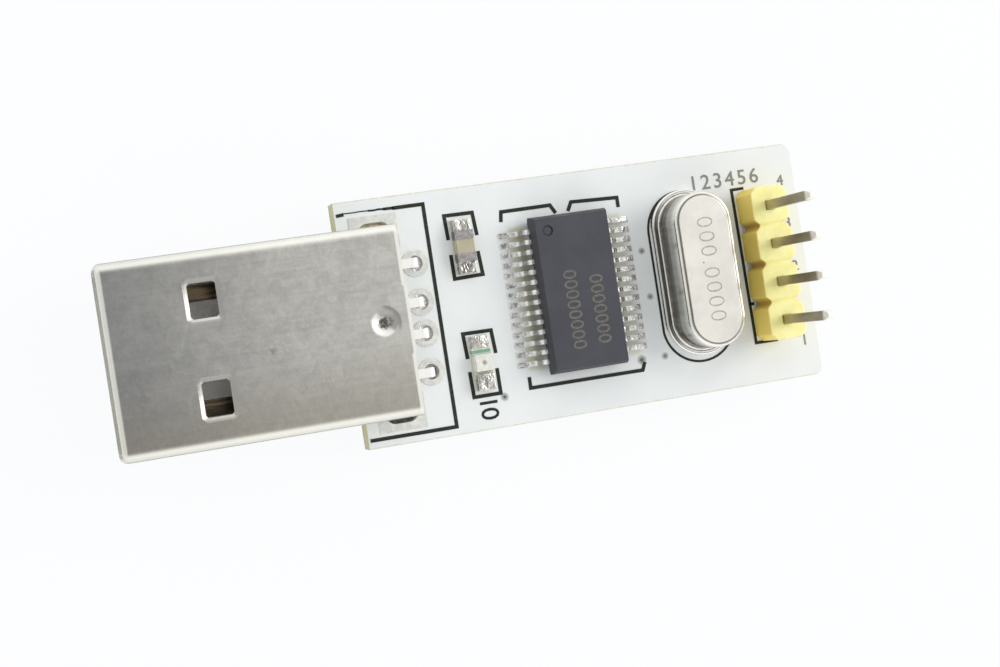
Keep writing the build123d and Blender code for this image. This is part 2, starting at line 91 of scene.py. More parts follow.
class Shade:
    """What a node gives. Where it is a number, Python's own signs work on it."""

    def __init__(self, nodes, socket):
        self.nodes = nodes
        self.socket = socket

    def __add__(self, other):
        return self.nodes.math("ADD", self, other)

    def __radd__(self, other):
        return self.nodes.math("ADD", other, self)

    def __sub__(self, other):
        return self.nodes.math("SUBTRACT", self, other)

    def __rsub__(self, other):
        return self.nodes.math("SUBTRACT", other, self)

    def __mul__(self, other):
        return self.nodes.math("MULTIPLY", self, other)

    def __rmul__(self, other):
        return self.nodes.math("MULTIPLY", other, self)

    def __pow__(self, other):
        return self.nodes.math("POWER", self, other)

    def __rpow__(self, other):
        return self.nodes.math("POWER", other, self)

    def __abs__(self):
        return self.nodes.math("ABSOLUTE", self)

    def most(self, other):
        return self.nodes.math("MAXIMUM", self, other)

    def step(self, low, high):
        """0 below low and 1 above high, with a smooth rise between. It falls if high is lower."""
        turned = low > high
        ends = {"From Min": min(low, high), "From Max": max(low, high),
                "To Min": 1.0 if turned else 0.0, "To Max": 0.0 if turned else 1.0}
        return self.nodes.out("ShaderNodeMapRange", {"interpolation_type": "SMOOTHSTEP"},
                              {"Value": self, **ends}, "Result")


class Nodes:
    """The nodes of one material or of the world. node() adds any node."""

    def __init__(self, tree):
        self.tree = tree

    def feed(self, socket, value):
        """Links a socket to what a node gives, or sets it to a plain value."""
        if isinstance(value, Shade):
            self.tree.links.new(value.socket, socket)
        else:
            socket.default_value = value

    def node(self, kind, settings, sockets):
        """Adds a node, sets it up, and then sets or links its sockets.

        A ramp's setting, stops, is its interpolation and then its places with their colours.
        """
        made = self.tree.nodes.new(kind)
        for name, value in settings.items():
            if name == "stops":
                ramp = made.color_ramp
                ramp.interpolation, stops = value
                for place, _ in stops[1:-1]:
                    ramp.elements.new(place)
                for element, (place, colour) in zip(ramp.elements, stops):
                    element.position = place
                    element.color = (*colour, 1.0)
            else:
                setattr(made, name, value)
        for key, value in sockets.items():
            self.feed(made.inputs[key], value)
        return made

    def out(self, kind, settings, sockets, output):
        """Adds a node and gives one of its outputs."""
        return Shade(self, self.node(kind, settings, sockets).outputs[output])

    def math(self, operation, first, second=None):
        """Adds a Math node with one number or two."""
        sockets = {0: first} if second is None else {0: first, 1: second}
        return self.out("ShaderNodeMath", {"operation": operation}, sockets, 0)


def tint(colour, share):
    """A colour made darker or lighter, with no part above 1."""
    return tuple(min(1.0, part * share) for part in colour)


class Finish(Nodes):
    """One material, with the nodes and the sockets that most of them use."""

    def __init__(self, name, roughness, metallic=0.0, fixed=None):
        self.material = bpy.data.materials.new(name)
        self.material.use_nodes = True
        super().__init__(self.material.node_tree)
        self.surface = self.tree.nodes["Principled BSDF"]
        constants = {"Roughness": roughness, "Metallic": metallic, **(fixed or {})}
        for socket, value in constants.items():
            self.surface.inputs[socket].default_value = value
        place = self.out("ShaderNodeTexCoord", {}, {}, "Object")
        self.place = self.out("ShaderNodeVectorMath", {"operation": "SCALE"},
                              {0: place, "Scale": 1 / MM}, "Vector")
        apart = self.node("ShaderNodeSeparateXYZ", {}, {0: self.place})
        self.x, self.y, self.z = [Shade(self, apart.outputs[axis]) for axis in "XYZ"]

    def blend(self, factor, first, second):
        """The first colour where factor is 0 and the second where it is 1."""
        ends = [colour if isinstance(colour, Shade) else (*colour, 1.0) for colour in (first, second)]
        return self.out("ShaderNodeMix", {"data_type": "RGBA"}, {0: factor, 6: ends[0], 7: ends[1]}, 2)

    def cloudy(self, factor, colour, low, high):
        """A colour times low where factor is 0 and times high where it is 1."""
        return self.blend(factor, tint(colour, low), tint(colour, high))

    def noise(self, per_mm, detail=3.0, roughness=0.55, stretch=(1, 1, 1), warp=0.0):
        """Cloudy noise from 0 to 1, with so many lumps to the millimetre."""
        place = self.out("ShaderNodeVectorMath", {"operation": "MULTIPLY"},
                         {0: self.place, 1: stretch}, "Vector")
        return self.out("ShaderNodeTexNoise", {}, {"Vector": place, "Scale": per_mm, "Detail": detail,
                                                   "Roughness": roughness, "Distortion": warp}, 0)

    def cells(self, per_mm):
        """Distance to the nearest of many scattered points."""
        return self.out("ShaderNodeTexVoronoi", {}, {"Vector": self.place, "Scale": per_mm}, "Distance")

    def facing(self, axis="Z"):
        """How far the surface faces along an axis, from -1 to 1."""
        normal = self.out("ShaderNodeNewGeometry", {}, {}, "Normal")
        return self.out("ShaderNodeSeparateXYZ", {}, {0: normal}, axis)

    def distance(self, x, y):
        """Distance in the board's plane from a place."""
        return ((self.x - x) ** 2 + (self.y - y) ** 2) ** 0.5

    def colour(self, value):
        self.feed(self.surface.inputs["Base Color"], value)

    def rough(self, value):
        self.feed(self.surface.inputs["Roughness"], value)

    def metal(self, value):
        self.feed(self.surface.inputs["Metallic"], value)

    def relief(self, height, depth, strength=1.0, rounding=0.0):
        """Bumps of so many millimetres, over edges that may look softly rounded."""
        sockets = {"Height": height, "Distance": depth * MM, "Strength": strength}
        if rounding:
            sockets["Normal"] = self.out("ShaderNodeBevel", {"samples": 6}, {"Radius": rounding * MM}, 0)
        self.feed(self.surface.inputs["Normal"], self.out("ShaderNodeBump", {}, sockets, 0))


# Modelling helpers

def clear_choice():
    """Leaves edit mode and selects nothing."""
    if bpy.context.mode != "OBJECT":
        bpy.ops.object.mode_set(mode="OBJECT")
    bpy.ops.object.select_all(action="DESELECT")


def started(name):
    """Names the object that was just added and opens it for editing."""
    piece = bpy.context.object
    piece.name = piece.data.name = name
    bpy.ops.object.mode_set(mode="EDIT")
    return piece


def choose_faces(piece, test):
    """In edit mode, selects just the faces that pass the test."""
    bpy.ops.mesh.select_mode(type="FACE")
    bpy.ops.mesh.select_all(action="DESELECT")
    mesh = bmesh.from_edit_mesh(piece.data)
    for face in mesh.faces:
        face.select = bool(test(face))
    mesh.select_flush_mode()
    bmesh.update_edit_mesh(piece.data)


def choose_corners(piece, test):
    """In edit mode, selects just the corners whose place passes the test."""
    bpy.ops.mesh.select_mode(type="VERT")
    bpy.ops.mesh.select_all(action="DESELECT")
    mesh = bmesh.from_edit_mesh(piece.data)
    for corner in mesh.verts:
        corner.select = bool(test(piece.matrix_world @ corner.co))
    mesh.select_flush_mode()
    bmesh.update_edit_mesh(piece.data)


def modifier(piece, kind, **settings):
    """Adds a modifier and applies it."""
    added = piece.modifiers.new(kind.title(), kind)
    for name, value in settings.items():
        setattr(added, name, value)
    bpy.ops.object.modifier_apply(modifier=added.name)


def settle(piece, finish, smooth, stands_for=()):
    """Puts a finished piece at the origin, shades and colours it, and ties it to the part.

    smooth is the least angle of an edge that stays sharp. At 0 the whole piece stays flat shaded.
    """
    clear_choice()
    piece.select_set(True)
    bpy.context.view_layer.objects.active = piece
    bpy.ops.object.transform_apply(location=True, rotation=True, scale=True)
    if smooth:
        bpy.ops.object.shade_smooth_by_angle(angle=math.radians(smooth))
        bpy.ops.object.mode_set(mode="EDIT")
        choose_faces(piece, lambda face: face.calc_area() > FLAT_AREA)
        bpy.ops.mesh.faces_shade_flat()
        bpy.ops.object.mode_set(mode="OBJECT")
        modifier(piece, "WEIGHTED_NORMAL", weight=100, keep_sharp=True)
    piece.data.materials.clear()
    piece.data.materials.append(finish.material)
    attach(piece, "root")
    if stands_for:
        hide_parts(*stands_for)
    clear_choice()


def dress(finish, *names):
    """Gives CAD nodes a better material in the slots they have."""
    for name in names:
        for slot in NODES[name].material_slots:
            slot.material = finish.material


def rounded_copy(node, name, width, segments, limit=30.0):
    """A copy of a CAD node, with joined triangles, and rounded where an edge turns more than limit."""
    clear_choice()
    source = NODES[node]
    source.select_set(True)
    bpy.context.view_layer.objects.active = source
    bpy.ops.object.duplicate()
    piece = bpy.context.object
    piece.parent = None
    # What the CAD node is marked with isn't true of the copy
    for key in list(piece.keys()):
        del piece[key]
    started(name)
    bpy.ops.mesh.select_all(action="SELECT")
    bpy.ops.mesh.remove_doubles(threshold=WELD)
    bpy.ops.mesh.dissolve_limited(angle_limit=math.radians(0.5))
    bpy.ops.object.mode_set(mode="OBJECT")
    bpy.ops.mesh.customdata_custom_splitnormals_clear()
    modifier(piece, "BEVEL", width=width, segments=segments, limit_method="ANGLE",
             angle_limit=math.radians(limit), profile=0.6)
    return piece


def joined(pieces, name):
    """One mesh from several."""
    clear_choice()
    for piece in pieces:
        piece.select_set(True)
    bpy.context.view_layer.objects.active = pieces[0]
    bpy.ops.object.join()
    pieces[0].name = pieces[0].data.name = name
    return pieces[0]


def ink_line(route, width, height, level, ring=False):
    """A flat raised line along a route, made by pulling one corner from point to point."""
    clear_choice()
    x, y = route[0]
    bpy.ops.mesh.primitive_plane_add(size=width, location=(x, y, level))
    piece = started("ink line")
    bpy.ops.mesh.merge(type="CENTER")
    for (x0, y0), (x1, y1) in zip(route, route[1:]):
        bpy.ops.mesh.extrude_region_move(TRANSFORM_OT_translate={"value": (x1 - x0, y1 - y0, 0)})
    bpy.ops.mesh.select_all(action="SELECT")
    if ring:
        bpy.ops.mesh.remove_doubles(threshold=WELD)
    bpy.ops.mesh.extrude_region_move(TRANSFORM_OT_translate={"value": (0, 0, height)})
    bpy.ops.object.mode_set(mode="OBJECT")
    modifier(piece, "SOLIDIFY", thickness=width, offset=0.0, use_even_offset=True)
    return piece


def slot_route(middle, half, turns=48):
    """Places once round a slot along Y. half holds half its width and half its length."""
    radius, straight = half[0], half[1] - half[0]
    route = []
    for turn in range(turns + 1):
        angle = 2 * math.pi * turn / turns
        end = 1 if math.sin(angle) >= 0 else -1
        route.append((middle[0] + radius * math.cos(angle),
                      middle[1] + radius * math.sin(angle) + end * straight))
    return route + route[:1]


def numerals(text, place, size, turn, rise, heavier, spread=1.0, name="numerals"):
    """Plain numerals as a flat mesh, turned by so many degrees, with strokes made heavier."""
    clear_choice()
    bpy.ops.object.text_add(location=place, rotation=(0, 0, math.radians(turn)))
    words = bpy.context.object
    words.data.body = text
    words.data.size = size
    words.data.extrude = rise / 2
    words.data.offset = heavier
    words.data.space_character = spread
    words.data.align_x = "CENTER"
    words.data.align_y = "CENTER"
    words.data.resolution_u = 3
    bpy.ops.object.convert(target="MESH")
    words = bpy.context.object
    words.name = words.data.name = name
    return words


def bead(middle, size, lean, top):
    """A bead of solder: a block whose top is drawn in and pushed along Y, rounded off all over."""
    clear_choice()
    bpy.ops.mesh.primitive_cube_add(size=1.0, location=middle)
    bpy.context.object.scale = size
    bpy.ops.object.transform_apply(location=False, rotation=False, scale=True)
    piece = started("bead")
    choose_faces(piece, lambda face: face.calc_center_median().z > 0.49 * size[2])
    bpy.ops.mesh.inset(thickness=0.12 * size[1], depth=0.0)
    bpy.ops.transform.resize(value=(top, top, 1.0))
    bpy.ops.transform.translate(value=(0.0, lean, 0.0))
    bpy.ops.object.mode_set(mode="OBJECT")
    modifier(piece, "BEVEL", width=0.22 * size[1], segments=3, limit_method="NONE")
    modifier(piece, "SUBSURF", levels=1, render_levels=1)
    return piece


def can_steps(height, crown):
    """Steps inwards and up from the can's lower edge to the fine groove round its top."""
    flange, edge, root = 0.25, 0.05, 0.16
    steps = [(0.0, flange - edge), (edge, edge), (CAN_LIP - edge - root, 0.0)]
    for part in range(4):
        a, b = math.radians(22.5 * part), math.radians(22.5 * (part + 1))
        steps.append((root * (math.sin(b) - math.sin(a)), root * (math.cos(a) - math.cos(b))))
    steps.append((0.0, height - flange - root - crown))
    for part in range(5):
        a, b = math.radians(18 * part), math.radians(18 * (part + 1))
        steps.append((crown * (math.cos(a) - math.cos(b)), crown * (math.sin(b) - math.sin(a))))
    return steps + [(0.02, -0.03), (0.03, 0.0), (0.04, 0.024)]


def board_place(x, y):
    """In metres, a place given from the board's plug end and its middle line in millimetres."""
    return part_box("circuit_board")[0].x + x * MM, y * MM


def board_top():
    """Height of the board's top face in metres."""
    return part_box("circuit_board")[1].z


def box_mm(node):
    """The low and the high corner of a CAD node's box in millimetres."""
    low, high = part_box(node)
    return low / MM, high / MM


# Sizes and colours that a user would change

class BoardLook(bpy.types.PropertyGroup):
    mask: bpy.props.FloatVectorProperty(
        name="Solder mask", description="Colour of the board's white faces",
        default=(0.80, 0.835, 0.83), min=0, max=1, subtype="COLOR")
    laminate: bpy.props.FloatVectorProperty(
        name="Laminate", description="Colour of the cut edges",
        default=(0.59, 0.575, 0.33), min=0, max=1, subtype="COLOR")
    ink: bpy.props.FloatVectorProperty(
        name="Ink", description="Colour of the printed lines",
        default=(0.022, 0.026, 0.020), min=0, max=1, subtype="COLOR")
    line_width: bpy.props.FloatProperty(
        name="Line width", description="Width of the printed lines",
        default=0.24 * MM, unit="LENGTH", precision=5)
    ink_height: bpy.props.FloatProperty(
        name="Ink height", description="How far the ink stands off the board",
        default=0.02 * MM, unit="LENGTH", precision=5)


class PlugLook(bpy.types.PropertyGroup):
    steel: bpy.props.FloatVectorProperty(
        name="Steel", description="Colour of the plug's plated steel",
        default=(0.70, 0.688, 0.637), min=0, max=1, subtype="COLOR")
    rounding: bpy.props.FloatProperty(
        name="Edge rounding", description="Rounding of the sheet's cut edges",
        default=0.11 * MM, unit="LENGTH", precision=5)
    roughness: bpy.props.FloatProperty(
        name="Roughness", description="Mean roughness of the plating", default=0.33, min=0, max=1,
        subtype="FACTOR")


class ChipLook(bpy.types.PropertyGroup):
    moulding: bpy.props.FloatVectorProperty(
        name="Moulding", description="Colour of the chip's moulded body",
        default=(0.041, 0.043, 0.056), min=0, max=1, subtype="COLOR")
    mark_size: bpy.props.FloatProperty(
        name="Mark size", description="Height of the numerals on the chip",
        default=1.3 * MM, unit="LENGTH", precision=5)


class CrystalLook(bpy.types.PropertyGroup):
    nickel: bpy.props.FloatVectorProperty(
        name="Nickel", description="Colour of the crystal's can",
        default=(0.84, 0.825, 0.755), min=0, max=1, subtype="COLOR")
    crown: bpy.props.FloatProperty(
        name="Crown", description="Rounding of the can's top edge",
        default=0.24 * MM, unit="LENGTH", precision=5)
    mark_size: bpy.props.FloatProperty(
        name="Mark size", description="Height of the numerals on the can",
        default=1.65 * MM, unit="LENGTH", precision=5)


class HeaderLook(bpy.types.PropertyGroup):
    nylon: bpy.props.FloatVectorProperty(
        name="Nylon", description="Colour of the header's housing",
        default=(0.95, 0.89, 0.35), min=0, max=1, subtype="COLOR")
    # The upright sides' colour is the nylon deepened as painted shade
    shade: bpy.props.FloatVectorProperty(
        name="Side", description="Colour of the housing's upright sides",
        default=(0.93, 0.72, 0.13), min=0, max=1, subtype="COLOR")
    rounding: bpy.props.FloatProperty(
        name="Edge rounding", description="Rounding of the housing's edges",
        default=0.26 * MM, unit="LENGTH", precision=5)


class StageLook(bpy.types.PropertyGroup):
    floor: bpy.props.FloatVectorProperty(
        name="Floor", description="Colour of the floor", default=(0.93, 0.94, 0.95), min=0, max=1,
        subtype="COLOR")
    key_power: bpy.props.FloatProperty(
        name="Key power", description="Power of the large soft lamp", default=0.86, unit="POWER")
    dim_lean: bpy.props.FloatProperty(
        name="Dim spot", description="Lean of the tent's dim spot towards the header", default=-0.12)
    sides: bpy.props.FloatProperty(
        name="Sides", description="How many times brighter the tent's two long sides are", default=1.35)
    lens: bpy.props.FloatProperty(
        name="Lens", description="Focal length of the camera in millimetres", default=64.8)


# Materials

def board_finish(look):
    """White solder mask with closed vias, laminate on the cut sides and tin in the holes."""
    made = Finish("white solder mask", 0.34)
    low, high = box_mm("circuit_board")
    middle, half = (low + high) / 2, (high - low) / 2
    cloud = made.noise(0.35, 4.0)
    grain = made.noise(7.0, 2.0)
    up = made.facing()
    mask = made.cloudy(cloud.step(0.3, 0.7), look.mask, 0.985, 1.02)
    mask = made.blend(grain.step(0.45, 0.8) * 0.10, mask, (0.66, 0.70, 0.69))
    rag = made.noise(3.2, 4.0) * 0.22
    burr = (abs(made.y) + rag).step(half.y + 0.02, half.y + 0.09)
    colour = made.blend(burr * 0.75, mask, (0.66, 0.64, 0.42))
    for x, width, strength in BARE_STRIPS:
        open_x = abs(made.x - low.x - x).step(width + 0.2, width - 0.2)
        open_y = abs(made.y - 0.1).step(4.85, 4.45)
        colour = made.blend(open_x * open_y * up.step(0.5, 0.9) * strength, colour, (0.54, 0.55, 0.31))
    for x, y, radius in VIAS:
        reach = made.distance(low.x + x, y) + made.noise(4.0) * 0.1
        colour = made.blend(reach.step(radius + 0.14, radius) * 0.7, colour, (0.26, 0.26, 0.23))
        colour = made.blend(reach.step(radius * 0.8, radius * 0.5) * 0.8, colour, (0.05, 0.05, 0.045))
    # Upright faces are the board's cut sides, or else the tinned walls of its holes
    upright = abs(up).step(0.7, 0.4)
    outer_x = abs(made.x - middle.x).step(half.x - 0.3, half.x - 0.2)
    outer_y = abs(made.y).step(half.y - 0.3, half.y - 0.2)
    side = upright * outer_x.most(outer_y)
    plies = made.noise(1.2, 3.0, stretch=(0.5, 0.5, 7.0))
    fibres = made.noise(5.0, 3.0, stretch=(1.0, 1.0, 0.3))
    tan = made.blend(plies.step(0.35, 0.65), look.laminate, (0.71, 0.70, 0.45))
    tan = made.blend(fibres.step(0.55, 0.75) * 0.5, tan, (0.36, 0.345, 0.16))
    colour = made.blend(upright, colour, (0.62, 0.62, 0.57))
    made.colour(made.blend(side, colour, tan))
    made.rough(grain * 0.12 + 0.27 + side * 0.35)
    made.relief(grain * (1 + side * 3) + cloud * 0.5, 0.012, 0.35, 0.04)
    return made


def ink_finish(look):
    """Screen printed ink, a little worn, and fainter in the numerals by the crystal and the header."""
    made = Finish("printed ink", 0.5, fixed={"Specular IOR Level": 0.2})
    low = box_mm("circuit_board")[0]
    wear = made.noise(6.0, 4.0)
    colour = made.blend(wear.step(0.52, 0.78) * 0.5, look.ink, (0.12, 0.13, 0.11))
    by_crystal = made.x.step(low.x + 23.5, low.x + 23.7) * made.y.step(5.32, 5.36)
    by_header = made.x.step(low.x + 29.9, low.x + 30.0)
    faint = by_crystal.most(by_header) * (wear * 0.4 + 0.55)
    made.colour(made.blend(faint, colour, (0.32, 0.33, 0.31)))
    made.rough(wear * 0.3 + 0.4)
    made.relief(wear, 0.01, 0.5)
    return made


def steel_finish(look):
    """Matt nickel plated sheet: cloudy, finely rolled along its length, with specks and scratches."""
    made = Finish("plated steel sheet", look.roughness, 1.0)
    low, high = box_mm("plug_shell")
    half = (high.y - low.y) / 2
    clouds = made.noise(0.30, 5.0, 0.66, warp=0.5)
    blots = made.noise(1.3, 5.0, 0.68, warp=1.0)
    rolled = made.noise(1.6, 4.0, 0.6, stretch=(0.12, 3.0, 3.0))
    specks = made.noise(5.5, 3.0)
    scratch = made.noise(0.9, 2.0, 0.5, stretch=(0.5, 9.0, 3.0), warp=1.4)
    up = made.facing()
    # Where the surface faces away from the light, towards low X and low Y; painted shade goes there
    turned = (made.facing("X") * 0.8 + made.facing("Y") * 0.6).step(0.05, -0.15)
    shade = clouds * 0.40 + blots * 0.42 + rolled * 0.18
    colour = made.cloudy(shade.step(0.36, 0.64), look.steel, 0.88, 1.1)
    colour = made.blend(specks.step(0.66, 0.76) * 0.35, colour, tint(look.steel, 0.6))
    stain = made.distance(low.x + 9.7, -0.75) + blots * 0.5
    colour = made.blend(stain.step(0.55, 0.25) * 0.45, colour, (0.20, 0.17, 0.11))
    colour = made.blend(scratch.step(0.70, 0.76) * 0.3, colour, (0.80, 0.79, 0.76))
    # The stake: painted shade on the bowl's slopes that face away from the light, a painted highlight
    # crescent on its low X and low Y side, a painted shade arc just outside the bowl on its high X side,
    # and a dark ragged middle
    x, y = low.x + 16.65, -0.1
    punch = made.distance(x, y)
    ragged = punch + (blots - 0.5) * 0.7 + (specks - 0.5) * 0.6
    bowl = punch.step(0.90, 0.80) * up.step(0.995, 0.96)
    colour = made.blend(bowl * turned * 0.7, colour, (0.26, 0.255, 0.24))
    lower = ((x - made.x) * 0.75 + (y - made.y) * 0.65).step(-0.15, 0.5)
    highlight_crescent = abs(ragged * 0.4 + punch * 0.6 - 0.67).step(0.27, 0.10) * lower
    highlight_crescent = highlight_crescent * (blots.step(0.35, 0.6) * 0.4 + 0.6)
    colour = made.blend(highlight_crescent * 0.9, colour, (0.93, 0.92, 0.87))
    upper = ((made.x - x) * 0.85 + (made.y - y) * 0.5).step(0.35, 0.7)
    colour = made.blend(abs(punch - 0.92).step(0.2, 0.05) * upper * 0.55, colour, (0.16, 0.155, 0.14))
    colour = made.blend(ragged.step(0.48, 0.30) * 0.9, colour, (0.10, 0.09, 0.08))
    # The rolled mouths of the windows: a pale painted highlight, with painted shade where they face away
    # from the light and where they just roll over
    across = abs(made.y - y)
    mouths = up.step(0.985, 0.93) * across.step(half - 0.9, half - 1.1)
    mouths = mouths * abs(made.x - low.x - 6.85).step(3.0, 2.0)
    rollover_shade = made.z.step(high.z - 0.12, high.z - 0.05)
    colour = made.blend(mouths * 0.8, colour, (0.80, 0.785, 0.70))
    colour = made.blend(mouths * turned.most(rollover_shade) * 0.75, colour, (0.24, 0.235, 0.225))
    # Painted shade, darker towards the plug's mouth; and darker and warmer in wide clouds towards low Y
    worn = made.x.step(low.x + 14.0, low.x - 6.0)
    colour = made.blend(worn * 0.9, colour, (0.33, 0.335, 0.34))
    warm_clouds_low_y = (clouds * 3.0 - made.y * 0.6).step(1.8, 5.0)
    colour = made.blend(warm_clouds_low_y * 0.55, colour, (0.42, 0.385, 0.31))
    # Painted highlights on the long edges and the rim, and along the rear cut, which steps back beside
    # its middle
    edge = across.step(half - 0.60, half - 0.36)
    rim_highlight = made.x.step(low.x + 0.36, low.x + 0.22)
    colour = made.blend(edge.most(rim_highlight) * 0.7, colour, (0.90, 0.905, 0.82))
    step_back = across.step(2.05, 2.15) * 0.1
    rear = (made.x + step_back).step(high.x - 0.24, high.x - 0.18) * up.step(0.5, 0.8)
    colour = made.blend(rear * 0.9, colour, (0.84, 0.845, 0.76))
    # Painted shade on the upright sides just below the long edges
    shoulder_shade = abs(made.facing("Y")).step(0.86, 0.96) * made.z.step(high.z - 0.8, high.z - 0.6)
    made.colour(made.blend(shoulder_shade * 0.7, colour, (0.30, 0.285, 0.31)))
    # The painted highlights on the rear cut, the rim and the crescent are less metallic
    made.metal(1 - rear.most(rim_highlight * 0.7).most(highlight_crescent) * 0.8)
    made.rough(shade * 0.16 + specks * 0.08 + look.roughness - 0.10)
    made.relief(rolled * 0.6 + specks * 0.7 + blots * 0.8, 0.012, 0.5)
    return made


def solder_finish(name, colour, roughness, lumps, depth, neck_shade_heights=(), metallic=1.0, dull=0.72):
    """Uneven solder or tin, dull times as bright in patches, with painted shade between the two heights
    in neck_shade_heights.
    """
    made = Finish(name, roughness, metallic)
    flow = made.noise(lumps, 3.0, 0.6, warp=0.6)
    fine = made.noise(lumps * 4, 2.0)
    shade = made.cloudy(flow.step(0.35, 0.7), colour, dull, 1.0)
    if neck_shade_heights:
        low, high = neck_shade_heights
        # Painted shade between the two heights
        neck_shade = made.z.step(low - 0.1, low + 0.1) * made.z.step(high + 0.08, high - 0.08)
        shade = made.blend(neck_shade * 0.8, shade, tint(colour, 0.30))
    made.colour(shade)
    made.rough(flow * 0.2 + roughness - 0.08)
    made.relief(flow + fine * 0.12, depth, 0.8, 0.03)
    return made


def slot_finish():
    """Solder in the plug's two slots: bright below the board; inside it, browned by flux with painted
    shade in the slot at high Y, and almost black with painted shade in the slot at low Y.
    """
    made = Finish("solder in the slots", 0.25, 1.0)
    flow = made.noise(2.0, 3.0, 0.6, warp=0.6)
    board_low = box_mm("circuit_board")[0].z
    inside = made.z.step(board_low, board_low + 0.2)
    # Inside the board: brown with flux and painted shade at high Y, almost black with painted shade at
    # low Y
    shade = made.blend(made.y.step(1.0, -1.0), (0.72, 0.64, 0.42), (0.13, 0.13, 0.12))
    shade = made.blend(inside, (0.82, 0.81, 0.77), shade)
    made.colour(made.blend(flow.step(0.55, 0.7), shade, (0.90, 0.89, 0.85)))
    made.rough(flow * 0.2 + 0.15)
    made.relief(flow, 0.08, 0.8, 0.03)
    return made


def contact_finish():
    """Gold darkened with painted shade on the contacts, bright tin on the tails behind the plug."""
    made = Finish("contact strip", 0.3, 1.0)
    flow = made.noise(1.2, 3.0, 0.6, stretch=(0.3, 3.5, 1.0))
    rear = box_mm("plug_shell")[1].x
    behind = made.x.step(rear - 0.9, rear - 0.4)
    shaded_gold = made.blend(flow.step(0.35, 0.65), (0.09, 0.07, 0.055), (0.30, 0.235, 0.14))
    made.colour(made.blend(behind, shaded_gold, (0.92, 0.915, 0.89)))
    made.metal(1 - behind * 0.9)
    made.rough(flow * 0.15 + 0.22)
    made.relief(flow, 0.01, 0.5, 0.03)
    return made


def plastic_finish(name, colour, roughness, grain, depth, rounding=0.03):
    """Moulded plastic or ceramic with a fine grain and slightly uneven colour."""
    made = Finish(name, roughness)
    cloud = made.noise(0.9, 3.0)
    fine = made.noise(grain, 2.0)
    made.colour(made.cloudy(cloud.step(0.3, 0.7), colour, 0.92, 1.05))
    made.rough(fine * 0.14 + roughness - 0.06)
    made.relief(fine + cloud * 0.4, depth, 0.6, rounding)
    return made


def mark_finish(name, roughness, metallic, grain, dark, light):
    """The grainy surface of marked numerals."""
    made = Finish(name, roughness, metallic)
    made.colour(made.blend(made.noise(grain, 2.0).step(0.4, 0.65), dark, light))
    return made


def chip_finish(look):
    """Matt slate moulding compound with fine specks, darker round its dimple, and with painted shade on
    its slopes.
    """
    made = Finish("chip moulding", 0.5, fixed={"Specular IOR Level": 0.55})
    low, high = box_mm("chip_body")
    cloud = made.noise(0.5, 3.0)
    specks = made.cells(9.0)
    fine = made.noise(16.0, 2.0)
    colour = made.cloudy(cloud.step(0.3, 0.7), look.moulding, 0.9, 1.12)
    colour = made.blend(specks.step(0.12, 0.05) * 0.5, colour, (0.11, 0.11, 0.12))
    dimple = abs(made.distance(low.x + 1.0, high.y - 1.0) - 0.30).step(0.08, 0.03)
    colour = made.blend(dimple * 0.9, colour, (0.006, 0.006, 0.008))
    # Painted shade on the slopes of the moulding
    slope_shade = made.facing().step(0.99, 0.9)
    made.colour(made.blend(slope_shade * 0.5, colour, (0.012, 0.013, 0.016)))
    made.rough(fine * 0.2 + 0.40)
    made.relief(fine + specks * 0.3, 0.012, 0.7, 0.05)
    return made


def can_finish(look):
    """Bright nickel with fine drawing lines down the walls and a satin top."""
    made = Finish("bright nickel", 0.2, 1.0)
    low, high = box_mm("crystal_can")
    middle, half = (low + high) / 2, (high - low) / 2
    # How far from the can's long middle line, and where its flat top ends
    along = (abs(made.y - middle.y) - (half.y - half.x)).most(0.0)
    reach = ((made.x - middle.x) ** 2 + along ** 2) ** 0.5
    flat = half.x - CAN_LIP - look.crown / MM
    top = made.facing().step(0.8, 0.95) * made.z.step(high.z - 0.3, high.z - 0.1)
    cloud = made.noise(0.7, 3.0)
    drawn = made.noise(3.0, 3.0, stretch=(1.0, 1.0, 0.12))
    fine = made.noise(14.0, 2.0)
    colour = made.cloudy(cloud.step(0.3, 0.7), look.nickel, 0.94, 1.04)
    colour = made.blend(drawn.step(0.55, 0.75) * (1 - top) * 0.35, colour, (0.46, 0.43, 0.38))
    # Painted dark reflection on the wall below the crown, darkest just above the foot
    wall = made.z.step(high.z - 0.25, high.z - 1.1) * made.z.step(low.z + 0.3, low.z + 0.5)
    colour = made.blend(wall * (drawn * 0.5 + 0.5), colour, (0.30, 0.29, 0.26))
    dark = abs(made.z - low.z - 0.95).step(0.75, 0.40) * (1 - top)
    colour = made.blend(dark * (drawn * 0.7 + 0.45), colour, (0.08, 0.075, 0.07))
    # The foot: a grey band of painted shade on the plug's side, a painted highlight on its outer edge,
    # and painted shade in two fine grooves
    left = (middle.x - made.x).step(half.x - 1.0, half.x - 0.4)
    foot_shade_band = reach.step(flat + 0.44, flat + 0.48) * reach.step(flat + 0.58, flat + 0.55)
    colour = made.blend(foot_shade_band * left * (1 - top) * 0.7, colour, (0.20, 0.19, 0.165))
    colour = made.blend(reach.step(flat + 0.56, flat + 0.60) * 0.8, colour, (0.95, 0.94, 0.90))
    for out, width in ((0.40, 0.05), (0.55, 0.03)):
        groove = abs(reach - flat - out + (drawn - 0.5) * 0.03).step(width, width * 0.5)
        colour = made.blend(groove * (1 - top) * (drawn * 0.6 + 0.3), colour, (0.09, 0.085, 0.07))
    # Painted shade in the fine groove round the top
    line = abs(reach - flat).step(0.075, 0.03)
    made.colour(made.blend(line * top * 0.85, colour, (0.12, 0.10, 0.075)))
    made.rough(top * 0.13 + drawn * 0.10 + fine * 0.05 + 0.10)
    made.relief(drawn * (1 - top) * 1.5 + fine * 0.5, 0.01, 0.5)
    return made


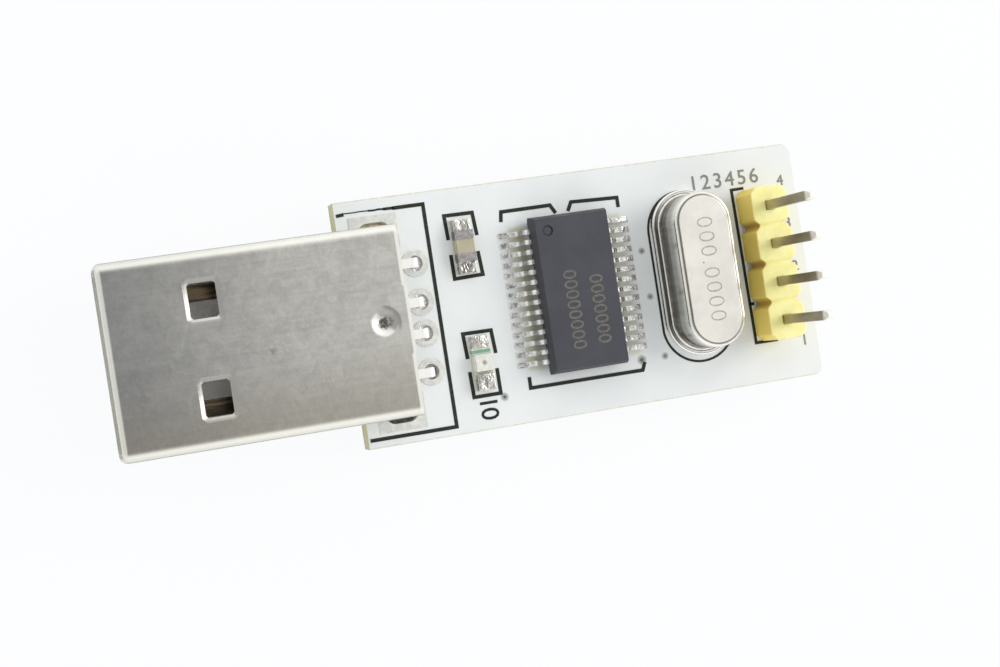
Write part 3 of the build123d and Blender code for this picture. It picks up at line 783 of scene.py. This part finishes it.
def header_finish(look):
    """Satin yellow nylon: paler on top with a painted sheen, deeper on its sides with painted shade, and
    brown with painted shade in the grooves between the cells.
    """
    made = Finish("yellow nylon", 0.38, fixed={"Subsurface Weight": 0.12, "Subsurface Scale": 0.8 * MM})
    low, high = box_mm("header_housing")
    cloud = made.noise(0.8, 3.0)
    fine = made.noise(9.0, 3.0)
    # Painted light: a paler top for sheen, and on the sides the deeper side colour as painted shade,
    # browner with painted shade in the grooves
    red, green, blue = look.nylon
    pale = (min(1.0, red * 1.05), min(1.0, green * 1.06), blue * 1.25)
    top = made.blend(cloud.step(0.3, 0.7), tint(look.nylon, 0.95), pale)
    pitch = (high.y - low.y) / 4
    groove = made.math("PINGPONG", made.y - low.y, pitch / 2)
    inner = abs(made.y - (low.y + high.y) / 2).step(pitch * 1.5, pitch * 1.4)
    side = made.blend(groove.step(0.42, 0.12) * inner * 0.7, look.shade, (0.50, 0.30, 0.05))
    made.colour(made.blend(made.facing().step(0.2, 0.8), side, top))
    made.rough(fine * 0.15 + 0.32)
    made.relief(fine * 0.5 + cloud, 0.015, 0.5)
    return made


def pin_finish():
    """Dull tinned brass with a painted highlight on its upper end."""
    made = Finish("tinned brass pin", 0.32, 1.0)
    high = box_mm("header_pin_1")[1]
    flow = made.noise(1.5, 3.0, stretch=(1, 1, 0.3))
    tip_highlight = made.z.step(high.z - 0.62, high.z - 0.40)
    brass = made.blend(flow.step(0.3, 0.7), (0.42, 0.37, 0.27), (0.56, 0.51, 0.40))
    made.colour(made.blend(tip_highlight, brass, (0.95, 0.93, 0.84)))
    made.rough(flow * 0.15 + 0.26)
    made.relief(flow, 0.01, 0.5, 0.06)
    return made


def resistor_finish():
    """White ceramic, black on the face that looks away from the board."""
    made = Finish("resistor", 0.4)
    cloud = made.noise(2.0, 3.0)
    white = made.blend(cloud, (0.74, 0.74, 0.72), (0.82, 0.82, 0.80))
    made.colour(made.blend(made.facing().step(-0.5, -0.8), white, (0.02, 0.02, 0.022)))
    made.relief(cloud, 0.01, 0.5, 0.03)
    return made


def lens_finish():
    """Milky epoxy of the lamp, with the die showing through its middle."""
    made = Finish("clear epoxy", 0.12, fixed={"Transmission Weight": 0.1, "IOR": 1.5, "Coat Weight": 0.3})
    low, high = box_mm("lamp_lens")
    middle = (low + high) / 2
    cloud = made.noise(2.5, 3.0)
    die = (made.distance(middle.x, middle.y) + cloud * 0.1).step(0.26, 0.12)
    milk = made.blend(cloud.step(0.3, 0.7), (0.78, 0.80, 0.72), (0.93, 0.94, 0.88))
    made.colour(made.blend(die * 0.75, milk, (0.22, 0.22, 0.20)))
    made.rough(cloud * 0.1 + 0.08)
    made.relief(cloud, 0.02, 0.4, 0.06)
    return made


def lamp_base_finish():
    """Pale lamp laminate with a green mark across one end."""
    made = Finish("lamp laminate", 0.45)
    cloud = made.noise(3.0, 3.0)
    lens_end = box_mm("lamp_lens")[1].y
    mark = abs(made.y - lens_end - 0.14 + (cloud - 0.5) * 0.06).step(0.13, 0.09)
    pale = made.blend(cloud.step(0.3, 0.7), (0.66, 0.64, 0.48), (0.80, 0.79, 0.66))
    made.colour(made.blend(mark * 0.85, pale, (0.12, 0.38, 0.26)))
    made.relief(cloud, 0.01, 0.4, 0.03)
    return made


# Stage

def add_floor(look):
    """A pale floor that keeps its shadow and is almost white to the camera."""
    clear_choice()
    bpy.ops.mesh.primitive_grid_add(x_subdivisions=4, y_subdivisions=4, size=3.0)
    floor = bpy.context.object
    floor.name = "floor"
    paper = Finish("floor paper", 0.9)
    paper.colour(paper.cloudy(paper.noise(0.2, 2.0), look.floor, 1.0, 0.985))
    seen = paper.out("ShaderNodeLightPath", {}, {}, "Is Camera Ray")
    lit = Shade(paper, paper.surface.outputs[0])
    white = paper.out("ShaderNodeEmission", {}, {"Color": (0.985, 0.99, 1.0, 1.0), "Strength": 1.0}, 0)
    both = paper.out("ShaderNodeMixShader", {}, {0: seen * 0.93, 1: lit, 2: white}, 0)
    paper.feed(paper.tree.nodes["Material Output"].inputs["Surface"], both)
    floor.data.materials.append(paper.material)


def add_tent(scene, look):
    """A white tent all round, brighter on its two long sides, with a dim spot overhead."""
    world = bpy.data.worlds.new("light box")
    scene.world = world
    world.use_nodes = True
    tent = Nodes(world.node_tree)
    back = tent.tree.nodes["Background"]
    toward = tent.out("ShaderNodeTexCoord", {}, {}, "Generated")
    spot = Vector((look.dim_lean, 0.0, 1.0)).normalized()
    near = tent.out("ShaderNodeVectorMath", {"operation": "DOT_PRODUCT"}, {0: toward, 1: spot}, "Value")
    stops = [(place, (level, level, level * 1.01)) for place, level in TENT]
    tent.feed(back.inputs["Color"],
              tent.out("ShaderNodeValToRGB", {"stops": ("B_SPLINE", stops)}, {0: near}, 0))
    sideways = abs(tent.out("ShaderNodeSeparateXYZ", {}, {0: toward}, "Y"))
    tent.feed(back.inputs["Strength"], 1 + sideways.step(0.35, 0.85) * (look.sides - 1))


def add_key_lamp(look):
    """One large soft lamp that aims at the origin."""
    bpy.ops.object.light_add(type="AREA", location=KEY_PLACE)
    key = bpy.context.object
    key.name = "key lamp"
    key.data.shape = "DISK"
    key.data.size = KEY_WIDTH
    key.data.energy = look.key_power
    key.data.color = (1.0, 0.985, 0.96)
    key.rotation_euler = (-key.location).to_track_quat("-Z", "Y").to_euler()


def add_camera(scene, look):
    """The photograph's camera."""
    bpy.ops.object.camera_add(location=CAMERA_PLACE)
    camera = bpy.context.object
    camera.name = "camera"
    ahead = CAMERA_AHEAD.normalized()
    right = ahead.cross(CAMERA_UP).normalized()
    up = right.cross(ahead)
    camera.rotation_euler = Matrix((right, up, -ahead)).transposed().to_euler()
    camera.data.lens = look.lens
    camera.data.sensor_width = 36.0
    camera.data.clip_start = 0.01
    scene.camera = camera


# Operators

class ADAPTER_OT_board(bpy.types.Operator):
    """Finish the board and print its lines."""

    bl_idname = "adapter.board"
    bl_label = "Board and printed lines"

    # Lines of the full width, from the board's plug end and its middle line
    lines = (
        ((3.8, 7.08), (5.81, 7.08), (5.81, -7.33), (0.12, -7.32)),
        ((9.05, 4.64), (8.95, 6.12), (7.07, 6.14), (7.12, 4.57)),
        ((7.13, 3.60), (7.15, 2.04), (9.05, 2.09), (8.95, 3.61)),
        ((9.10, -3.06), (9.01, -1.55), (7.12, -1.53), (7.19, -3.16)),
        ((7.19, -4.01), (7.23, -5.66), (9.03, -5.66), (9.02, -4.03)),
        ((10.77, 5.25), (10.87, 5.90), (14.22, 5.91), (14.54, 5.35)),
        ((15.38, 5.37), (15.68, 5.93), (18.87, 5.81), (18.87, 5.17)),
        ((11.07, -4.94), (11.06, -5.66), (18.85, -5.69), (19.07, -5.18)),
    )
    # Thinner lines with their share of the full width: two by the header, and four worn ones
    thin_lines = (
        (0.85, ((27.88, 5.28), (26.99, 5.26), (27.11, -5.13), (28.69, -5.14))),
        (0.85, ((27.10, -2.50), (27.40, -2.50))),
        (0.9, ((0.12, 7.03), (0.62, 7.08))),
        (0.3, ((0.6, 7.13), (1.3, 7.12), (1.7, 7.14), (2.3, 7.12))),
        (0.5, ((2.2, 7.12), (2.6, 7.10), (2.9, 7.13), (3.3, 7.09))),
        (0.75, ((3.2, 7.10), (3.9, 7.09))),
    )
    # The ring round the crystal: its middle, half its width and length, and its share of the width
    ring_middle = (23.23, -0.04)
    ring_half = (2.54, 5.70)
    ring_share = 0.65
    # Text, place, height, turn in degrees and spacing
    numbers = (
        ("123456", 26.55, 5.98, 1.4, 0, 1.25), ("01", 8.2, -6.5, 1.7, 90, 0.85),
        ("4", 30.6, 5.44, 1.0, 0, 1.0), ("3", 30.72, 2.54, 1.0, 0, 1.0),
        ("2", 30.78, -0.41, 1.0, 0, 1.0), ("1", 30.64, -5.47, 1.0, 0, 1.0),
    )

    def execute(self, context):
        look = context.scene.adapter_board
        dress(board_finish(look), "circuit_board")
        pads = solder_finish("levelled tin", (0.84, 0.85, 0.80), 0.30, 2.5, 0.02, metallic=0.3, dull=0.84)
        dress(pads, "copper_pads_top", "copper_pads_bottom")
        level, rise, width = board_top(), look.ink_height, look.line_width
        printed = []
        for share, route in [(1.0, route) for route in self.lines] + list(self.thin_lines):
            places = [board_place(x, y) for x, y in route]
            printed.append(ink_line(places, width * share, rise, level))
        ring = [board_place(x, y) for x, y in slot_route(self.ring_middle, self.ring_half)]
        printed.append(ink_line(ring, width * self.ring_share, rise, level, ring=True))
        for text, x, y, size, turn, spread in self.numbers:
            place = (*board_place(x, y), level + rise / 2)
            printed.append(numerals(text, place, size * MM, turn, rise, 0.01 * MM, spread))
        settle(joined(printed, "printed_lines"), ink_finish(look), 0)
        return {"FINISHED"}


class ADAPTER_OT_plug(bpy.types.Operator):
    """Round the plug's sheet edges and finish its steel, plastic, contacts and solder."""

    bl_idname = "adapter.plug"
    bl_label = "Plug"

    def execute(self, context):
        look = context.scene.adapter_plug
        shell = rounded_copy("plug_shell", "plug_shell_sheet", look.rounding, 3)
        settle(shell, steel_finish(look), 40.0, ("plug_shell",))
        dress(plastic_finish("white insulator", (0.74, 0.73, 0.70), 0.42, 6.0, 0.02), "plug_insulator")
        dress(contact_finish(), *[f"plug_contact_{number}" for number in range(1, 5)])
        dress(solder_finish("bright solder", (0.94, 0.93, 0.90), 0.16, 3.2, 0.09),
              "solder_plug_pins", "solder_crystal", "solder_header", "solder_chip_left",
              "solder_chip_right", "solder_under_parts")
        dress(slot_finish(), "solder_plug_tabs")
        return {"FINISHED"}


class ADAPTER_OT_chip(bpy.types.Operator):
    """Finish the chip's moulding and leads and mark it with plain numerals."""

    bl_idname = "adapter.chip"
    bl_label = "Chip"

    # Text and place from the board's plug end and its middle line
    marks = (("0000000", 15.92, -1.24), ("00000000", 14.2, -1.06))

    def execute(self, context):
        look = context.scene.adapter_chip
        dress(chip_finish(look), "chip_body")
        foot = board_top() / MM
        # The leads' sloping legs between these two heights get painted shade
        dress(solder_finish("matt tin", (0.94, 0.93, 0.90), 0.18, 3.5, 0.05, (foot + 0.35, foot + 0.85)),
              "chip_leads_left", "chip_leads_right")
        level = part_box("chip_body")[1].z + 0.002 * MM
        rows = [numerals(text, (*board_place(x, y), level), look.mark_size, -90, 0.004 * MM, 0.006 * MM)
                for text, x, y in self.marks]
        etched = mark_finish("etched mark", 0.6, 0.0, 12.0, (0.095, 0.090, 0.078), (0.17, 0.16, 0.13))
        settle(joined(rows, "chip_marks"), etched, 0)
        return {"FINISHED"}


class ADAPTER_OT_crystal(bpy.types.Operator):
    """Model the crystal's drawn can ring by ring and mark its top with plain numerals."""

    bl_idname = "adapter.crystal"
    bl_label = "Crystal"

    sides = 96

    def execute(self, context):
        look = context.scene.adapter_crystal
        low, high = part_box("crystal_can")
        middle = (low + high) / 2
        half = high - middle
        clear_choice()
        bpy.ops.mesh.primitive_circle_add(vertices=self.sides, radius=half.x, fill_type="NGON",
                                          location=(middle.x, middle.y, low.z),
                                          rotation=(0, 0, math.radians(180 / self.sides)))
        can = started("crystal_can_drawn")
        for end in (1, -1):
            choose_corners(can, lambda at: (at.y - middle.y) * end > 0)
            bpy.ops.transform.translate(value=(0, end * (half.y - half.x), 0))
        bpy.ops.mesh.select_all(action="SELECT")
        for inwards, up in can_steps((high.z - low.z) / MM, look.crown / MM):
            if inwards:
                bpy.ops.mesh.inset(thickness=inwards * MM, depth=up * MM)
            else:
                bpy.ops.mesh.extrude_region_move(TRANSFORM_OT_translate={"value": (0, 0, up * MM)})
        bpy.ops.mesh.select_all(action="SELECT")
        bpy.ops.mesh.normals_make_consistent(inside=False)
        nickel = can_finish(look)
        settle(can, nickel, 50.0, ("crystal_can",))
        dress(nickel, "crystal_base")
        dress(plastic_finish("glass bead", (0.05, 0.07, 0.06), 0.15, 3.0, 0.01), "crystal_seals")
        dress(plastic_finish("quartz", (0.80, 0.84, 0.86), 0.15, 3.0, 0.01), "crystal_blank")
        dress(solder_finish("wire", (0.72, 0.72, 0.70), 0.3, 3.0, 0.01),
              "crystal_clips", "crystal_lead_1", "crystal_lead_2")
        marks = numerals("000.0000", (middle.x, middle.y, high.z - 0.004 * MM), look.mark_size, -90,
                         0.007 * MM, -0.03 * MM, 1.14, "crystal_marks")
        engraved = mark_finish("engraved mark", 0.5, 0.6, 9.0, (0.36, 0.34, 0.30), (0.54, 0.52, 0.46))
        settle(marks, engraved, 0)
        return {"FINISHED"}


class ADAPTER_OT_header(bpy.types.Operator):
    """Round the header's housing and finish its pins."""

    bl_idname = "adapter.header"
    bl_label = "Pin header"

    def execute(self, context):
        look = context.scene.adapter_header
        housing = rounded_copy("header_housing", "header_housing_moulded", look.rounding, 4, 25.0)
        settle(housing, header_finish(look), 40.0, ("header_housing",))
        dress(pin_finish(), *[f"header_pin_{number}" for number in range(1, 5)])
        return {"FINISHED"}


class ADAPTER_OT_small_parts(bpy.types.Operator):
    """Finish the capacitor, the lamp and the parts underneath, and heap the solder on top."""

    bl_idname = "adapter.small_parts"
    bl_label = "Small parts"

    # Heaps of solder: the node and which of its ends, the height, and how heavy beside the others
    heaps = (("capacitor_ends", 1, 0.5, 1.0), ("capacitor_ends", -1, 0.5, 1.0),
             ("lamp_ends", 1, 0.34, 1.0), ("lamp_ends", -1, 0.62, 1.35))
    # Across and along a heap, how far its top leans to the part, and how much of the top is left
    across = 1.16
    along = 0.80
    lean = 0.14
    top = 0.66

    def execute(self, context):
        dress(plastic_finish("fired ceramic", (0.45, 0.42, 0.29), 0.45, 6.0, 0.01, 0.05),
              "capacitor_body", "under_capacitor_bodies")
        dress(solder_finish("tinned end", (0.50, 0.47, 0.47), 0.34, 4.0, 0.03),
              "capacitor_ends", "resistor_ends", "under_capacitor_ends")
        dress(resistor_finish(), "resistor_bodies")
        dress(lamp_base_finish(), "lamp_base", "lamp_ends")
        dress(plastic_finish("bare chip", (0.25, 0.28, 0.24), 0.3, 8.0, 0.01), "lamp_die")
        dress(lens_finish(), "lamp_lens")
        beads = []
        for node, end, tall, heavy in self.heaps:
            low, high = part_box(node)
            tall = tall * MM
            edge = high.y if end > 0 else low.y
            size = (self.across * MM, self.along * heavy * MM, tall * 1.5)
            place = (((low + high) / 2).x, edge + end * (0.36 - 0.28 * (heavy - 1)) * MM,
                     low.z + tall * 0.36)
            beads.append(bead(place, size, -end * self.lean * MM, self.top))
        heaped = solder_finish("heaped solder", (0.78, 0.77, 0.71), 0.18, 1.2, 0.22)
        settle(joined(beads, "solder_beads_top"), heaped, 60.0, ("solder_top_parts",))
        return {"FINISHED"}


class ADAPTER_OT_stage(bpy.types.Operator):
    """Set the floor, the lamp, the world and the camera."""

    bl_idname = "adapter.stage"
    bl_label = "Stage"

    def execute(self, context):
        scene = context.scene
        look = scene.adapter_stage
        add_floor(look)
        add_tent(scene, look)
        add_key_lamp(look)
        add_camera(scene, look)
        scene.view_settings.view_transform = "Standard"
        return {"FINISHED"}


class ADAPTER_PT_panel(bpy.types.Panel):
    """Lists the finishing steps, each with its sizes and colours."""

    bl_label = "Adapter module"
    bl_idname = "ADAPTER_PT_panel"
    bl_space_type = "VIEW_3D"
    bl_region_type = "UI"
    bl_category = "Adapter"

    def draw(self, context):
        for name in STEPS:
            box = self.layout.box()
            box.operator(f"adapter.{name}")
            group = getattr(context.scene, f"adapter_{name}", None)
            if group:
                for key in group.bl_rna.properties.keys():
                    if key not in ("rna_type", "name"):
                        box.prop(group, key)


# The operators in the order in which they run, and the property groups of those that have one
STEPS = ("board", "plug", "chip", "crystal", "header", "small_parts", "stage")
GROUPS = {"board": BoardLook, "plug": PlugLook, "chip": ChipLook, "crystal": CrystalLook,
          "header": HeaderLook, "stage": StageLook}
CLASSES = (
    BoardLook, PlugLook, ChipLook, CrystalLook, HeaderLook, StageLook,
    ADAPTER_OT_board, ADAPTER_OT_plug, ADAPTER_OT_chip, ADAPTER_OT_crystal,
    ADAPTER_OT_header, ADAPTER_OT_small_parts, ADAPTER_OT_stage, ADAPTER_PT_panel,
)


def register():
    for made in CLASSES:
        bpy.utils.register_class(made)
    for name, group in GROUPS.items():
        setattr(bpy.types.Scene, f"adapter_{name}", bpy.props.PointerProperty(type=group))


def unregister():
    for name in GROUPS:
        delattr(bpy.types.Scene, f"adapter_{name}")
    for made in reversed(CLASSES):
        bpy.utils.unregister_class(made)


def main():
    register()
    for name in STEPS:
        getattr(bpy.ops.adapter, name)()


if __name__ == "__main__":
    main()
